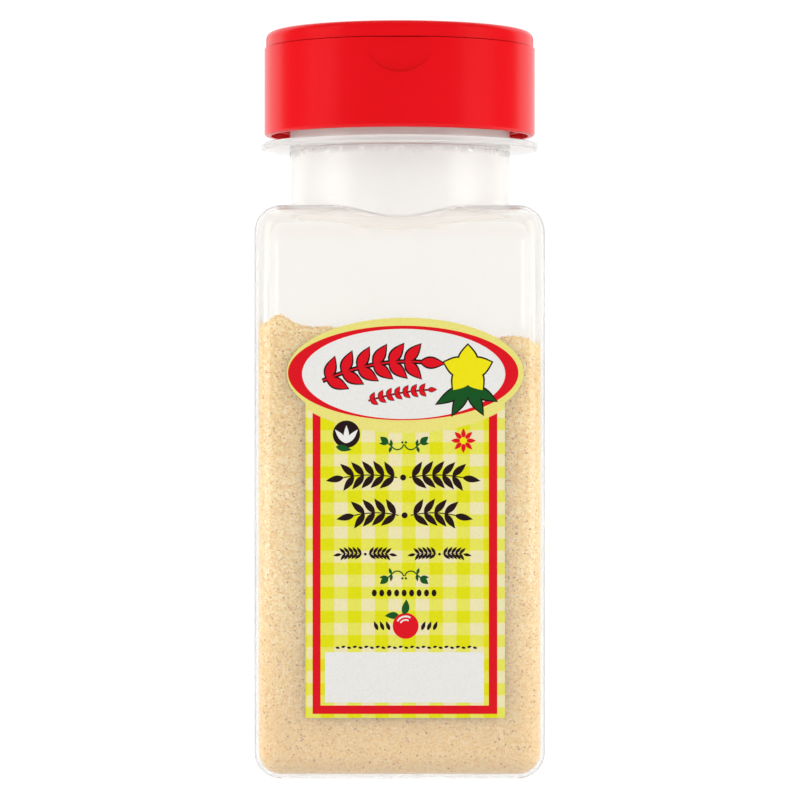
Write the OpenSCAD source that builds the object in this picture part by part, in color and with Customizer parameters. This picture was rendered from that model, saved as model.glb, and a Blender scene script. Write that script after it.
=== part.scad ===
// Flip-top spice jar: a clear rectangular jar with a round neck, a screw cap with two
// half lids, a sealing ring, two labels and the ground spice inside.
// Millimetres, +Z up. The origin is the centre of the base, on the surface it stands on.
// The front, with the main label and the sifter lid, faces -Y.

/* [Jar body] */
// Width of the body, side to side
body_w = 58.8; // [58:0.2:90]
// Depth of the body in front of the neck, and the same behind it
neck_inset = 0.7; // [0.6:0.1:10]
// Height of the body up to the shoulder
body_h = 116; // [100:1:160]
// Radius of the four upright corners
corner_r = 5.6; // [5.4:0.2:7]
// Radius of the edges round the shoulder and the base
edge_r = 5.4; // [3:0.2:5.6]
// Thickness of the blown wall
wall = 0.8; // [0.6:0.1:1.4]
// Depth of the recess under the base
push_up = 0.8; // [0.4:0.1:1.5]
// Width of the flat rim that the jar stands on
foot_rim = 3.6; // [2:0.2:5]

/* [Neck] */
// Outside radius of the neck
neck_r = 22.8; // [20:0.1:27.4]
// Wall of the neck
neck_wall = 1.4; // [1:0.1:2]
// Height of the plain neck between the shoulder and the ring
neck_plain_h = 12.2; // [8:0.2:18]
// Overhang of the support ring past the cap
ring_overhang = 0.6; // [0.2:0.1:3]
// Thickness of the support ring
ring_t = 1.5; // [1:0.1:2.5]
// Height of the plain lip above the thread
lip_plain_h = 2.9; // [1.5:0.1:6]

/* [Thread] */
// Rise of the thread for one turn
pitch = 5; // [4:0.1:6]
// Height of the thread above the neck
thread_depth = 1.2; // [0.6:0.1:1.4]
// Width of the thread at its root
thread_root_w = 2.2; // [1.4:0.1:2.4]
// Width of the thread at its crest
thread_crest_w = 1; // [0.6:0.1:1.2]
// Turns of thread on the jar
jar_thread_turns = 1.5; // [1:0.25:1.75]
// Turns of thread in the cap
cap_thread_turns = 1.25; // [1:0.25:1.5]
// Height of the start of the cap's thread above its skirt's end
thread_margin = 0.2; // [0.1:0.1:1]

/* [Cap] */
// Wall of the outer skirt
skirt_t = 1.35; // [1:0.05:1.6]
// Wall of the inner, threaded skirt
inner_skirt_t = 1.2; // [0.8:0.1:1.4]
// Space between the two skirts
skirt_space = 1.1; // [0.6:0.05:3]
// Thickness of the deck
deck_t = 1.4; // [1:0.1:2]
// Radius of the rounding on the skirt's lower rim
rim_round = 0.6; // [0.2:0.1:0.9]
// Height of the inner skirt's end above the outer skirt's rim
inner_skirt_lift = 1.1; // [0.6:0.1:1.2]
// Radius of the thumb recess at the seam
thumb_r = 7.1; // [5:0.1:9]
// Depth of the thumb recess
thumb_depth = 0.8; // [0.4:0.1:1]

/* [Lids] */
// Step in from the cap's side to the lids' side
lid_step = 0.3; // [0.1:0.05:0.8]
// Height of the lids' top above the deck
lid_h = 3.4; // [3:0.1:5]
// Thickness of the lids' top
lid_top_t = 1.2; // [0.8:0.1:1.6]
// Thickness of the lids' rim
lid_rim_t = 1.2; // [0.8:0.1:1.6]
// Rounding of the lids' top edge
lid_round = 1.5; // [0.6:0.1:1.8]
// Width of the fixed bar between the lids
bar_w = 8; // [6:0.2:12]
// Length of each living hinge
hinge_len = 40; // [20:1:46]
// Gap that each living hinge spans
hinge_gap = 0.6; // [0.5:0.05:1]
// Thickness of the living hinges
hinge_t = 0.25; // [0.2:0.05:0.35]

/* [Openings in the deck] */
// Radius of each sifter hole
hole_r = 1.7; // [1.2:0.1:1.8]
// Holes in the ring round the middle one
hole_count = 6; // [4:1:7]
// Solid strip between the bar and the holes
hole_margin_bar = 2.7; // [2.4:0.1:4]
// Solid strip between the holes and the neck's bore
hole_margin_bore = 0.9; // [0.5:0.1:2]
// Solid strip between the bar and the spoon opening
spoon_margin_bar = 2.8; // [2.4:0.1:4]
// Solid strip between the spoon opening and the neck's bore
spoon_margin_bore = 2.2; // [1.5:0.1:5]
// Wall of the plug that closes the spoon opening
plug_t = 0.9; // [0.6:0.1:1.2]

/* [Labels] */
// Thickness of the labels
label_t = 0.12; // [0.08:0.02:0.2]
// Width of the front label's rectangle
label_w = 40.1; // [30:0.1:44]
// Height of the front label's lower edge
label_z = 12.7; // [10:0.1:20]
// Drop from the shoulder to the oval's centre
oval_drop = 34; // [24:0.5:50]
// Width of the oval
oval_w = 47.6; // [42:0.2:48]
// Height of the oval
oval_h = 22.2; // [14:0.2:30]
// Sideways offset of the front label from the middle
label_x = 1.1; // [-1.2:0.1:1.2]
// Width of the back label
back_label_w = 42; // [30:1:44]
// Drop from the shoulder to the back label's upper edge
back_label_drop = 38; // [10:0.5:50]

/* [Fill] */
// Drop from the shoulder to the spice at the left wall
fill_drop_left = 23.5; // [15:0.5:60]
// Drop from the shoulder to the spice at the right wall
fill_drop_right = 28; // [15:0.5:60]

/* [Clearances] */
// Radial gap between the jar's thread and the cap's bore
thread_gap_r = 0.35; // [0.3:0.05:0.5]
// Least gap along the axis between the two threads
thread_gap_z = 0.3; // [0.2:0.05:0.4]
// Gap between the support ring and the cap's rim
cap_gap = 1.5; // [0.6:0.1:2]
// Thickness of the sealing ring
seal_t = 0.7; // [0.5:0.1:1]
// Gap on each side of the sealing ring
seal_gap = 0.05; // [0.02:0.01:0.1]
// Gap between the deck and the lids' rims, seen as the seam
seam_gap = 0.15; // [0.1:0.05:0.3]
// Gap round each peg in its sifter hole
peg_gap = 0.55; // [0.5:0.05:0.7]
// Depth that the pegs reach into the deck
peg_engage = 0.6; // [0.3:0.1:0.7]
// Gap round the spoon opening's plug
plug_gap = 0.5; // [0.45:0.05:0.8]
// Depth that the plug reaches into the deck
plug_engage = 0.7; // [0.3:0.1:0.8]
// Gap between the spice and the jar's wall
fill_gap = 0.1; // [0.05:0.05:0.3]

/* [Hidden] */
$fn = 96;

// Cutters reach this far past the faces that they cut.
over = 1;
big = 200;

// Heights, from the base up
floor_z = wall + push_up;
ring_z = body_h + neck_plain_h;
ring_top_z = ring_z + ring_t;
cap_z = ring_top_z + cap_gap;
inner_skirt_z = cap_z + inner_skirt_lift;
// The cap's thread runs half a groove below the jar's, on the same helix.
thread_step_z = (thread_root_w + thread_crest_w) / 2 + thread_gap_z;
cap_thread_z = inner_skirt_z + thread_margin + thread_root_w / 2;
jar_thread_z = cap_thread_z + thread_step_z;
lip_z = jar_thread_z + jar_thread_turns * pitch + thread_root_w / 2 + lip_plain_h;
deck_z = lip_z + seal_t + 2 * seal_gap;
seam_z = deck_z + deck_t;
lid_z = seam_z + seam_gap;
top_z = seam_z + lid_h;
lid_under_z = top_z - lid_top_t;

// The body is as deep as the neck and its inset at front and back.
body_d = 2 * (neck_r + neck_inset);

// Radii of the neck and the cap, from the bore out
neck_bore_r = neck_r - neck_wall;
thread_r = neck_r + thread_depth;
cap_bore_r = thread_r + thread_gap_r;
inner_skirt_r = cap_bore_r + inner_skirt_t;
cap_r = inner_skirt_r + skirt_space + skirt_t;
lid_r = cap_r - lid_step;
ring_r = cap_r + ring_overhang;
ring_round = ring_t / 3;

// Each thread is swept in steps, fades out over a few of them, and is rooted in its wall.
thread_steps = 32;
thread_fade = 4;
thread_embed = 0.3;

// The lids fold about lines just under the lids' top.
hinge_drop = 0.2;
hinge_z = top_z - hinge_drop;
flap_y = bar_w / 2 + hinge_gap;
bar_core_wall = 1.2;

// The holes and the spoon opening fill the deck between the bar and the neck's bore.
hole_near_y = bar_w / 2 + hole_margin_bar;
hole_far_y = neck_bore_r - hole_margin_bore;
sifter_y = -(hole_near_y + hole_far_y) / 2;
hole_ring_r = (hole_far_y - hole_near_y) / 2 - hole_r;
peg_r = hole_r - peg_gap;
spoon_r = neck_bore_r - spoon_margin_bore;
spoon_y = bar_w / 2 + spoon_margin_bar;

oval_z = body_h - oval_drop;
oval_points = 72;

// ---- Shapes used by several pieces ----

// Cuts a convex corner at the origin back to radius r. The material lies at -X and -Y.
module corner_cut(r) {
    translate([-r, -r])
        difference() {
            square(r + over);
            circle(r);
        }
}

// Outline of an edge: from the axis out to radius rc, both ends rounded to re.
module edge_outline(rc, re, h) {
    difference() {
        square([rc, h]);
        translate([rc, h])
            corner_cut(re);
        translate([rc, 0])
            mirror([0, 1])
                corner_cut(re);
    }
}

// The same outline mirrored to both sides of a slab of depth d.
module slab_outline(d, re, h) {
    difference() {
        translate([-d / 2, 0])
            square([d, h]);
        for (side = [0, 1])
            mirror([side, 0])
                translate([d / 2, 0]) {
                    translate([0, h])
                        corner_cut(re);
                    mirror([0, 1])
                        corner_cut(re);
                }
    }
}

// Box with upright corners of radius rc and edges of radius re, standing on z = 0.
module soft_box(w, d, h, rc, re) {
    flat_w = w - 2 * rc;
    flat_d = d - 2 * rc;
    translate([-flat_w / 2, 0, 0])
        rotate([90, 0, 90])
            linear_extrude(flat_w)
                slab_outline(d, re, h);
    for (side = [0, 1])
        mirror([side, 0, 0]) {
            translate([flat_w / 2, flat_d / 2, 0])
                rotate([90, 0, 0])
                    linear_extrude(flat_d)
                        edge_outline(rc, re, h);
            for (end = [0, 1])
                mirror([0, end, 0])
                    translate([flat_w / 2, flat_d / 2, 0])
                        rotate_extrude(angle = 90)
                            edge_outline(rc, re, h);
        }
}

// Rounded rectangle, centred.
module round_rect(w, d, r) {
    difference() {
        square([w, d], center = true);
        for (sx = [0, 1])
            for (sy = [0, 1])
                mirror([sx, 0])
                    mirror([0, sy])
                        translate([w / 2, d / 2])
                            corner_cut(r);
    }
}

module tube(r_out, r_in, h) {
    difference() {
        cylinder(r = r_out, h = h);
        translate([0, 0, -over])
            cylinder(r = r_in, h = h + 2 * over);
    }
}

// One cross-section of a thread at angle a: root, crest, crest, root.
function ridge_ring(a, z, r_foot, r_crest) = [
    for (p = [
        [r_foot, -thread_root_w / 2],
        [r_crest, -thread_crest_w / 2],
        [r_crest, thread_crest_w / 2],
        [r_foot, thread_root_w / 2]
    ])
    [p[0] * cos(a), p[0] * sin(a), z + p[1]]
];

// Helical ridge that fades in and out at its ends. It points outwards when
// crest_r is over root_r, and inwards when it is under.
module thread_ridge(root_r, crest_r, z0, turns) {
    steps = ceil(turns * thread_steps);
    out = sign(crest_r - root_r);
    foot_r = root_r - out * thread_embed;
    points = [
        for (i = [0:steps])
            let (fade = min(1, (i + 0.5) / thread_fade, (steps - i + 0.5) / thread_fade))
            each ridge_ring(
                360 * i / thread_steps,
                z0 + pitch * i / thread_steps,
                foot_r,
                root_r + (crest_r - root_r) * fade)
    ];
    sides = [
        for (i = [0:steps - 1])
            for (j = [0:3])
                let (a = 4 * i + j, b = 4 * i + (j + 1) % 4)
                each [[a, b, b + 4], [a, b + 4, a + 4]]
    ];
    last = 4 * steps;
    ends = [[3, 2, 1], [3, 1, 0], [last, last + 1, last + 2], [last, last + 2, last + 3]];
    faces = concat(sides, ends);
    polyhedron(points, out > 0 ? faces : [for (f = faces) [f[2], f[1], f[0]]]);
}

// Half disc cut off by the line y = y0.
module half_moon(r, y0, h) {
    intersection() {
        cylinder(r = r, h = h);
        translate([-r, y0, 0])
            cube([2 * r, r, h]);
    }
}

// ---- Jar ----

module neck_outside() {
    rotate_extrude()
        difference() {
            union() {
                translate([0, body_h - edge_r - over])
                    square([neck_r, lip_z - body_h + edge_r + over]);
                translate([0, ring_z])
                    square([ring_r, ring_t]);
            }
            translate([ring_r, ring_top_z])
                corner_cut(ring_round);
            translate([ring_r, ring_z])
                mirror([0, 1])
                    corner_cut(ring_round);
        }
}

module base_recess() {
    inset = 2 * (edge_r + foot_rim);
    translate([0, 0, -over])
        linear_extrude(push_up + over)
            round_rect(body_w - inset, body_d - inset, corner_r / 2);
}

module jar_body() {
    color("whitesmoke", 0.35)
        difference() {
            union() {
                soft_box(body_w, body_d, body_h, corner_r, edge_r);
                neck_outside();
                thread_ridge(neck_r, thread_r, jar_thread_z, jar_thread_turns);
            }
            translate([0, 0, floor_z])
                soft_box(
                    body_w - 2 * wall, body_d - 2 * wall, body_h - wall - floor_z,
                    corner_r - wall, edge_r - wall);
            translate([0, 0, body_h - edge_r - over])
                cylinder(r = neck_bore_r, h = big);
            base_recess();
        }
}

module ground_spice() {
    inset = 2 * (wall + fill_gap);
    fill_z = floor_z + fill_gap;
    half_w = body_w / 2;
    left_z = body_h - fill_drop_left;
    right_z = body_h - fill_drop_right;
    color("burlywood")
        intersection() {
            translate([0, 0, fill_z])
                soft_box(
                    body_w - inset, body_d - inset, body_h - wall - fill_z,
                    corner_r - wall - fill_gap, edge_r - wall - fill_gap);
            rotate([90, 0, 0])
                linear_extrude(big, center = true)
                    polygon([
                        [-half_w, 0],
                        [half_w, 0],
                        [half_w, right_z],
                        [half_w / 3, (left_z + right_z) / 2],
                        [-half_w, left_z]
                    ]);
        }
}

// ---- Labels ----

// A skin of the labels' thickness round the upright part of the body.
module label_skin() {
    linear_extrude(body_h)
        difference() {
            round_rect(body_w + 2 * label_t, body_d + 2 * label_t, corner_r + label_t);
            round_rect(body_w, body_d, corner_r);
        }
}

module front_outline() {
    polygon([
        for (i = [0:oval_points - 1])
            let (a = 360 * i / oval_points)
            [oval_w / 2 * cos(a), oval_z + oval_h / 2 * sin(a)]
    ]);
    translate([-label_w / 2, label_z])
        square([label_w, oval_z - label_z]);
}

module front_label() {
    color("khaki")
        intersection() {
            label_skin();
            translate([label_x, 0, 0])
                rotate([90, 0, 0])
                    linear_extrude(body_d)
                        front_outline();
        }
}

module back_label() {
    color("ivory")
        intersection() {
            label_skin();
            translate([-back_label_w / 2, 0, label_z])
                cube([back_label_w, body_d, body_h - back_label_drop - label_z]);
        }
}

// ---- Cap ----

module cap_outline() {
    difference() {
        polygon([
            [0, deck_z],
            [cap_bore_r, deck_z],
            [cap_bore_r, inner_skirt_z],
            [inner_skirt_r, inner_skirt_z],
            [inner_skirt_r, deck_z],
            [cap_r - skirt_t, deck_z],
            [cap_r - skirt_t, cap_z],
            [cap_r, cap_z],
            [cap_r, seam_z],
            [0, seam_z]
        ]);
        translate([cap_r, cap_z])
            mirror([0, 1])
                corner_cut(rim_round);
    }
}

// The rounded disc that the bar and the two lids are cut from, from z0 up.
module lid_disc(z0) {
    rotate_extrude()
        difference() {
            translate([0, z0])
                square([lid_r, top_z - z0]);
            translate([lid_r, top_z])
                corner_cut(lid_round);
        }
}

module hinge_bar() {
    intersection() {
        lid_disc(deck_z);
        translate([-big / 2, -bar_w / 2, 0])
            cube([big, bar_w, big]);
    }
}

// The bar is cored from below, inside the jar's mouth.
module bar_core() {
    core_w = bar_w - 2 * bar_core_wall;
    core_l = 2 * (neck_bore_r - 2 * bar_core_wall);
    translate([-core_l / 2, -core_w / 2, deck_z - over])
        cube([core_l, core_w, lid_under_z - deck_z + over]);
}

// Backs each thumb recess, between the two skirts.
module thumb_pads() {
    pad_h = thumb_r + 2 * over;
    intersection() {
        translate([0, 0, seam_z - pad_h])
            tube(cap_r - skirt_t / 2, inner_skirt_r - inner_skirt_t / 2, pad_h);
        translate([-thumb_r - over, -big / 2, 0])
            cube([2 * (thumb_r + over), big, big]);
    }
}

module thumb_recesses() {
    for (side = [0, 1])
        mirror([0, side, 0])
            translate([0, -(cap_r - thumb_depth), seam_z])
                rotate([90, 0, 0])
                    cylinder(r = thumb_r, h = thumb_depth + over);
}

// Puts its children at every sifter hole.
module at_sifter_holes() {
    translate([0, sifter_y, 0]) {
        children();
        for (i = [0:hole_count - 1])
            rotate([0, 0, 360 * i / hole_count])
                translate([hole_ring_r, 0, 0])
                    children();
    }
}

module cap_base() {
    color("red")
        difference() {
            union() {
                rotate_extrude()
                    cap_outline();
                thread_ridge(
                    cap_bore_r, cap_bore_r - thread_depth, cap_thread_z, cap_thread_turns);
                hinge_bar();
                thumb_pads();
            }
            bar_core();
            thumb_recesses();
            at_sifter_holes()
                translate([0, 0, deck_z - over])
                    cylinder(r = hole_r, h = deck_t + 2 * over);
            translate([0, 0, deck_z - over])
                half_moon(spoon_r, spoon_y, deck_t + 2 * over);
        }
}

// Half lid over the rear half of the deck, open below.
module half_lid() {
    difference() {
        intersection() {
            lid_disc(lid_z);
            translate([-big / 2, flap_y, 0])
                cube([big, big, big]);
        }
        translate([0, 0, lid_z - over])
            half_moon(lid_r - lid_rim_t, flap_y + lid_rim_t, lid_under_z - lid_z + over);
    }
}

module sifter_flap() {
    peg_z = seam_z - peg_engage;
    color("red") {
        mirror([0, 1, 0])
            half_lid();
        at_sifter_holes()
            translate([0, 0, peg_z])
                cylinder(r = peg_r, h = lid_under_z - peg_z + lid_top_t / 2);
    }
}

module spoon_flap() {
    plug_z = seam_z - plug_engage;
    plug_h = lid_under_z - plug_z;
    plug_r = spoon_r - plug_gap;
    plug_y = spoon_y + plug_gap;
    color("red") {
        half_lid();
        translate([0, 0, plug_z])
            difference() {
                half_moon(plug_r, plug_y, plug_h + lid_top_t / 2);
                translate([0, 0, -over])
                    half_moon(plug_r - plug_t, plug_y + plug_t, plug_h + over);
            }
    }
}

// Thin web across the gap between the bar and the rear lid.
module living_hinge() {
    translate([-hinge_len / 2, bar_w / 2, hinge_z - hinge_t])
        cube([hinge_len, hinge_gap, hinge_t]);
}

module sifter_hinge() {
    color("firebrick")
        mirror([0, 1, 0])
            living_hinge();
}

module spoon_hinge() {
    color("firebrick")
        living_hinge();
}

// Lies on the jar's lip, inside the cap's bore.
module sealing_ring() {
    color("white")
        translate([0, 0, lip_z + seal_gap])
            tube(cap_bore_r - thread_gap_r, neck_bore_r + seal_gap, seal_t);
}

jar_body();
ground_spice();
front_label();
back_label();
sealing_ring();
cap_base();
sifter_hinge();
spoon_hinge();
sifter_flap();
spoon_flap();
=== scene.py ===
"""Looks of the flip-top spice jar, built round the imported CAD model.

Lengths are in metres, except in the labels' prints, which are laid out in millimetres.
"""
import math
import random

import bpy
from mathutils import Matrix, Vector, noise
from mathutils.geometry import tessellate_polygon


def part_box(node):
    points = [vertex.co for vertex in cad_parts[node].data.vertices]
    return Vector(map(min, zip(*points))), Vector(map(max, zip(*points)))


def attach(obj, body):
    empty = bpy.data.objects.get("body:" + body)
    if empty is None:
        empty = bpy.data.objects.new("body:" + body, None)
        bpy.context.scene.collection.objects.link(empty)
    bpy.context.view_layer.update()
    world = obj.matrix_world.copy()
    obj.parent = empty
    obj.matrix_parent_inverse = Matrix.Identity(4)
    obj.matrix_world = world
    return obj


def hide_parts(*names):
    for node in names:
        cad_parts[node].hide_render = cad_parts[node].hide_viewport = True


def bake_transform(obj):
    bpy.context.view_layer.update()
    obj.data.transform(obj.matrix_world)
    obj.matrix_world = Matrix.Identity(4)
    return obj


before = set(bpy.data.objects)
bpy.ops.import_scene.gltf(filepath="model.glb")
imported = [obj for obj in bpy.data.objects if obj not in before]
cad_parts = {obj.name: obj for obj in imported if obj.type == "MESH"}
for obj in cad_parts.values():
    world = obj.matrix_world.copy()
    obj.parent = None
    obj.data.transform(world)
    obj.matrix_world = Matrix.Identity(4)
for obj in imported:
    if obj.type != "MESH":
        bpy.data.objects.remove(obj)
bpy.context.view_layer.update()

MM = 0.001


# ---- Sizes, from the CAD model where it holds them ----

def top_corner(node, height):
    """Highest x, y and z of a CAD node's vertices up to a height."""
    spots = [v.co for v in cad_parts[node].data.vertices if v.co.z <= height]
    return Vector([max(p[i] for p in spots) for i in range(3)])


PART_WAY_UP_NECK = 120 * MM
BODY_TOP = top_corner("jar_body", PART_WAY_UP_NECK)
LABEL_T = 0.12 * MM
HALF_W = BODY_TOP.x
HALF_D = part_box("back_label")[1].y - LABEL_T
BODY_H = BODY_TOP.z
CORNER_R = 5.6 * MM
EDGE_R = 5.4 * MM
WALL = 0.8 * MM
PUSH_UP = 0.8 * MM
FLOOR_Z = WALL + PUSH_UP
FOOT_RIM = 3.6 * MM
CORE_X = HALF_W - CORNER_R
CORE_Y = HALF_D - CORNER_R

NECK_R = 22.8 * MM
BORE_R = 21.4 * MM
RING_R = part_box("jar_body")[1].y
RING_Z = BODY_H + 12.2 * MM
RING_TOP_Z = RING_Z + 1.5 * MM
LIP_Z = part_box("jar_body")[1].z
NECK_FILLET = 0.3 * MM
RING_ROOT_R = 0.4 * MM
RING_EDGE_R = 0.5 * MM
LIP_EDGE_R = 0.35 * MM
ROUND_STEPS = 12
CLOSE = 1e-7

THREAD_PITCH = 5 * MM
THREAD_TURNS = 1.5
THREAD_DEPTH = 1.2 * MM
THREAD_ROOT_W = 2.2 * MM
THREAD_CREST_W = 1.0 * MM
THREAD_Z = 135.5 * MM
THREAD_RUN_IN = 0.125
THREAD_START = 0.1

FILL_GAP = 0.1 * MM
FILL_LOW, FILL_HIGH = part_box("ground_spice")
SPICE_TOP = FILL_HIGH.z - 0.9 * MM
SPICE_LEAN = 3.3 * MM
TOP_CRUMBS = 1500
CLINGING_CRUMBS = 60

LABEL_LOW, LABEL_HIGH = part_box("front_label")
LABEL_X = (LABEL_LOW.x + LABEL_HIGH.x) / 2
LABEL_HALF_W = 20.05 * MM
OVAL_A = (LABEL_HIGH.x - LABEL_LOW.x) / 2
OVAL_B = 11.1 * MM
OVAL_Z = LABEL_HIGH.z - OVAL_B
BACK_LOW, BACK_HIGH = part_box("back_label")

# The film stands off the wall by its gap, and the inks lie on it in layers.
FILM_GAP = 0.02 * MM
FILM_T = 0.08 * MM
INK_LOW = FILM_GAP + FILM_T
INK_LAYER = 0.012 * MM
INK_T = 0.005 * MM
SHAPE_LIFT = 0.0004 * MM
SHAPE_LIFTS = 17
FRONT = -1
BACK = 1


# ---- Mesh tools ----

def mesh_object(name, points, faces, material, smooth=True):
    """Links a new piece made of points and faces, with one material."""
    mesh = bpy.data.meshes.new(name)
    mesh.from_pydata([tuple(p) for p in points], [], faces)
    mesh.validate()
    mesh.update()
    mesh.polygons.foreach_set("use_smooth", [smooth] * len(mesh.polygons))
    mesh.materials.append(material)
    piece = bpy.data.objects.new(name, mesh)
    bpy.context.scene.collection.objects.link(piece)
    return piece


def loft(name, rings, first, last, material):
    """Closed skin over rings of equally many points, shut by a fan at each end."""
    count = len(rings[0])
    points = [p for ring in rings for p in ring] + [first, last]
    faces = []
    for i in range(len(rings) - 1):
        for k in range(count):
            after = (k + 1) % count
            faces.append((
                i * count + k, i * count + after,
                (i + 1) * count + after, (i + 1) * count + k))
    top = (len(rings) - 1) * count
    for k in range(count):
        after = (k + 1) % count
        faces.append((len(points) - 2, after, k))
        faces.append((len(points) - 1, top + k, top + after))
    return mesh_object(name, points, faces, material)


def outline(corner_steps, long_steps, short_steps):
    """(core point, outward direction) pairs anticlockwise round the body's plan."""
    corners = [(1, 1), (-1, 1), (-1, -1), (1, -1)]
    spots = []
    for i, (sx, sy) in enumerate(corners):
        nx, ny = corners[(i + 1) % 4]
        here = Vector((sx * CORE_X, sy * CORE_Y))
        there = Vector((nx * CORE_X, ny * CORE_Y))
        for k in range(corner_steps):
            a = math.pi / 2 * (i + k / corner_steps)
            spots.append((here, Vector((math.cos(a), math.sin(a)))))
        steps = long_steps if sy == ny else short_steps
        a = math.pi / 2 * (i + 1)
        facing = Vector((math.cos(a), math.sin(a)))
        for k in range(steps):
            spots.append((here.lerp(there, k / steps), facing))
    return spots


def plan_ring(spots, half_w, half_d, radius, z):
    """Rounded rectangle at height z."""
    scale_x = (half_w - radius) / CORE_X
    scale_y = (half_d - radius) / CORE_Y
    return [
        Vector((c.x * scale_x + n.x * radius, c.y * scale_y + n.y * radius, z))
        for c, n in spots]


def body_ring(spots, radius, z):
    """The body's plan at that corner radius and height."""
    return [Vector((c.x + n.x * radius, c.y + n.y * radius, z)) for c, n in spots]


def scaled(ring, share, z):
    """The ring shrunk towards the axis, at height z."""
    return [Vector((p.x * share, p.y * share, z)) for p in ring]


def past_core(x, y):
    """Distance of (x, y) outside the plan's core rectangle, or 0 inside it."""
    return math.hypot(max(abs(x) - CORE_X, 0), max(abs(y) - CORE_Y, 0))


def roof(x, y, corner, edge, top):
    """Height of the rounded shoulder over the point (x, y)."""
    past = max(past_core(x, y) - (corner - edge), 0)
    return top - edge + math.sqrt(max(edge * edge - past * past, 0))


def resample(path, count):
    """The same path with count + 1 points at equal steps along it."""
    lengths = [0]
    for a, b in zip(path, path[1:]):
        lengths.append(lengths[-1] + (b - a).length)
    result = []
    i = 0
    for j in range(count + 1):
        target = lengths[-1] * j / count
        while i < len(path) - 2 and lengths[i + 1] < target:
            i += 1
        share = (target - lengths[i]) / max(lengths[i + 1] - lengths[i], 1e-12)
        result.append(path[i].lerp(path[i + 1], min(share, 1)))
    return result


def shoulder_rings(spots, corner, edge, top, neck_r, fillet, count):
    """Rings from the top of the wall in over the shoulder and up into the neck."""
    fine = 160
    columns = []
    for c, n in spots:
        start = c + n * corner
        end = (c + n * CORNER_R).normalized() * neck_r
        path = []
        for i in range(fine + 1):
            p = start.lerp(end, (i / fine) ** 2)
            gap = min(p.length - neck_r, fillet)
            rise = fillet - math.sqrt(max(fillet ** 2 - (fillet - gap) ** 2, 0))
            path.append(Vector((p.x, p.y, roof(p.x, p.y, corner, edge, top) + rise)))
        columns.append(resample(path, count))
    return [list(ring) for ring in zip(*columns)]


def rounded(corners, steps=5):
    """Polyline through (r, z, radius) corners with each one rounded to its radius."""
    path = []
    for i, (r, z, radius) in enumerate(corners):
        p = Vector((r, z))
        if radius == 0 or i in (0, len(corners) - 1):
            path.append(p)
            continue
        back = (Vector(corners[i - 1][:2]) - p).normalized()
        ahead = (Vector(corners[i + 1][:2]) - p).normalized()
        centre = p + (back + ahead) * radius
        for k in range(steps + 1):
            a = math.pi / 2 * k / steps
            path.append(centre - ahead * radius * math.cos(a) - back * radius * math.sin(a))
    return path


def divided(path, longest):
    """The same polyline with no stretch over the longest length."""
    result = [path[0]]
    for a, b in zip(path, path[1:]):
        parts = max(1, math.ceil((b - a).length / longest))
        result += [a.lerp(b, k / parts) for k in range(1, parts + 1)]
    return result


# ---- Material tools ----

def srgb(red, green, blue):
    """Linear colour of an 8-bit display colour."""
    def linear(v):
        v /= 255
        return v / 12.92 if v <= 0.04045 else ((v + 0.055) / 1.055) ** 2.4
    return linear(red), linear(green), linear(blue), 1.0


class Surface:
    """Short-hand for one material's nodes."""

    def __init__(self, name, **settings):
        self.material = bpy.data.materials.new(name)
        self.material.use_nodes = True
        self.nodes = self.material.node_tree.nodes
        self.links = self.material.node_tree.links
        self.shader = self.nodes["Principled BSDF"]
        self.output = self.nodes["Material Output"]
        self.place = self.nodes.new("ShaderNodeTexCoord").outputs["Object"]
        for label, value in settings.items():
            self.shader.inputs[label.replace("_", " ")].default_value = value

    def plug(self, value, socket):
        if isinstance(value, bpy.types.NodeSocket):
            self.links.new(value, socket)
        else:
            socket.default_value = value

    def math(self, operation, a, b=0.0):
        node = self.nodes.new("ShaderNodeMath")
        node.operation = operation
        self.plug(a, node.inputs[0])
        self.plug(b, node.inputs[1])
        return node.outputs[0]

    def mix(self, share, a, b):
        node = self.nodes.new("ShaderNodeMix")
        node.data_type = "RGBA"
        self.plug(share, node.inputs["Factor"])
        self.plug(a, node.inputs[6])
        self.plug(b, node.inputs[7])
        return node.outputs[2]

    def noise(self, size, detail=2.0, roughness=0.5):
        node = self.nodes.new("ShaderNodeTexNoise")
        node.inputs["Scale"].default_value = 1 / size
        node.inputs["Detail"].default_value = detail
        node.inputs["Roughness"].default_value = roughness
        self.links.new(self.place, node.inputs["Vector"])
        return node.outputs[0]

    def grains(self, size):
        """(distance to the grain's middle, random value of the grain)."""
        node = self.nodes.new("ShaderNodeTexVoronoi")
        node.inputs["Scale"].default_value = 1 / size
        self.links.new(self.place, node.inputs["Vector"])
        split = self.nodes.new("ShaderNodeSeparateColor")
        self.links.new(node.outputs["Color"], split.inputs[0])
        return node.outputs["Distance"], split.outputs[0]

    def ramp(self, value, stops, step=False):
        node = self.nodes.new("ShaderNodeValToRGB")
        node.color_ramp.interpolation = "CONSTANT" if step else "LINEAR"
        elements = node.color_ramp.elements
        while len(elements) < len(stops):
            elements.new(1.0)
        for element, (position, colour) in zip(elements, stops):
            element.position = position
            element.color = colour
        self.links.new(value, node.inputs[0])
        return node.outputs[0]

    def between(self, value, low, high):
        """1 where the value is between low and high, else 0."""
        return self.math(
            "MULTIPLY", self.math("GREATER_THAN", value, low),
            self.math("LESS_THAN", value, high))

    def spread(self, value, low, high):
        """A value from 0 to 1 turned into one from low to high."""
        return self.math("ADD", self.math("MULTIPLY", value, high - low), low)

    def colour(self, value):
        self.plug(value, self.shader.inputs["Base Color"])

    def roughness(self, value):
        self.plug(value, self.shader.inputs["Roughness"])

    def bump(self, height, depth, strength=1.0):
        node = self.nodes.new("ShaderNodeBump")
        node.inputs["Strength"].default_value = strength
        node.inputs["Distance"].default_value = depth
        self.links.new(height, node.inputs["Height"])
        self.links.new(node.outputs[0], self.shader.inputs["Normal"])


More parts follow.
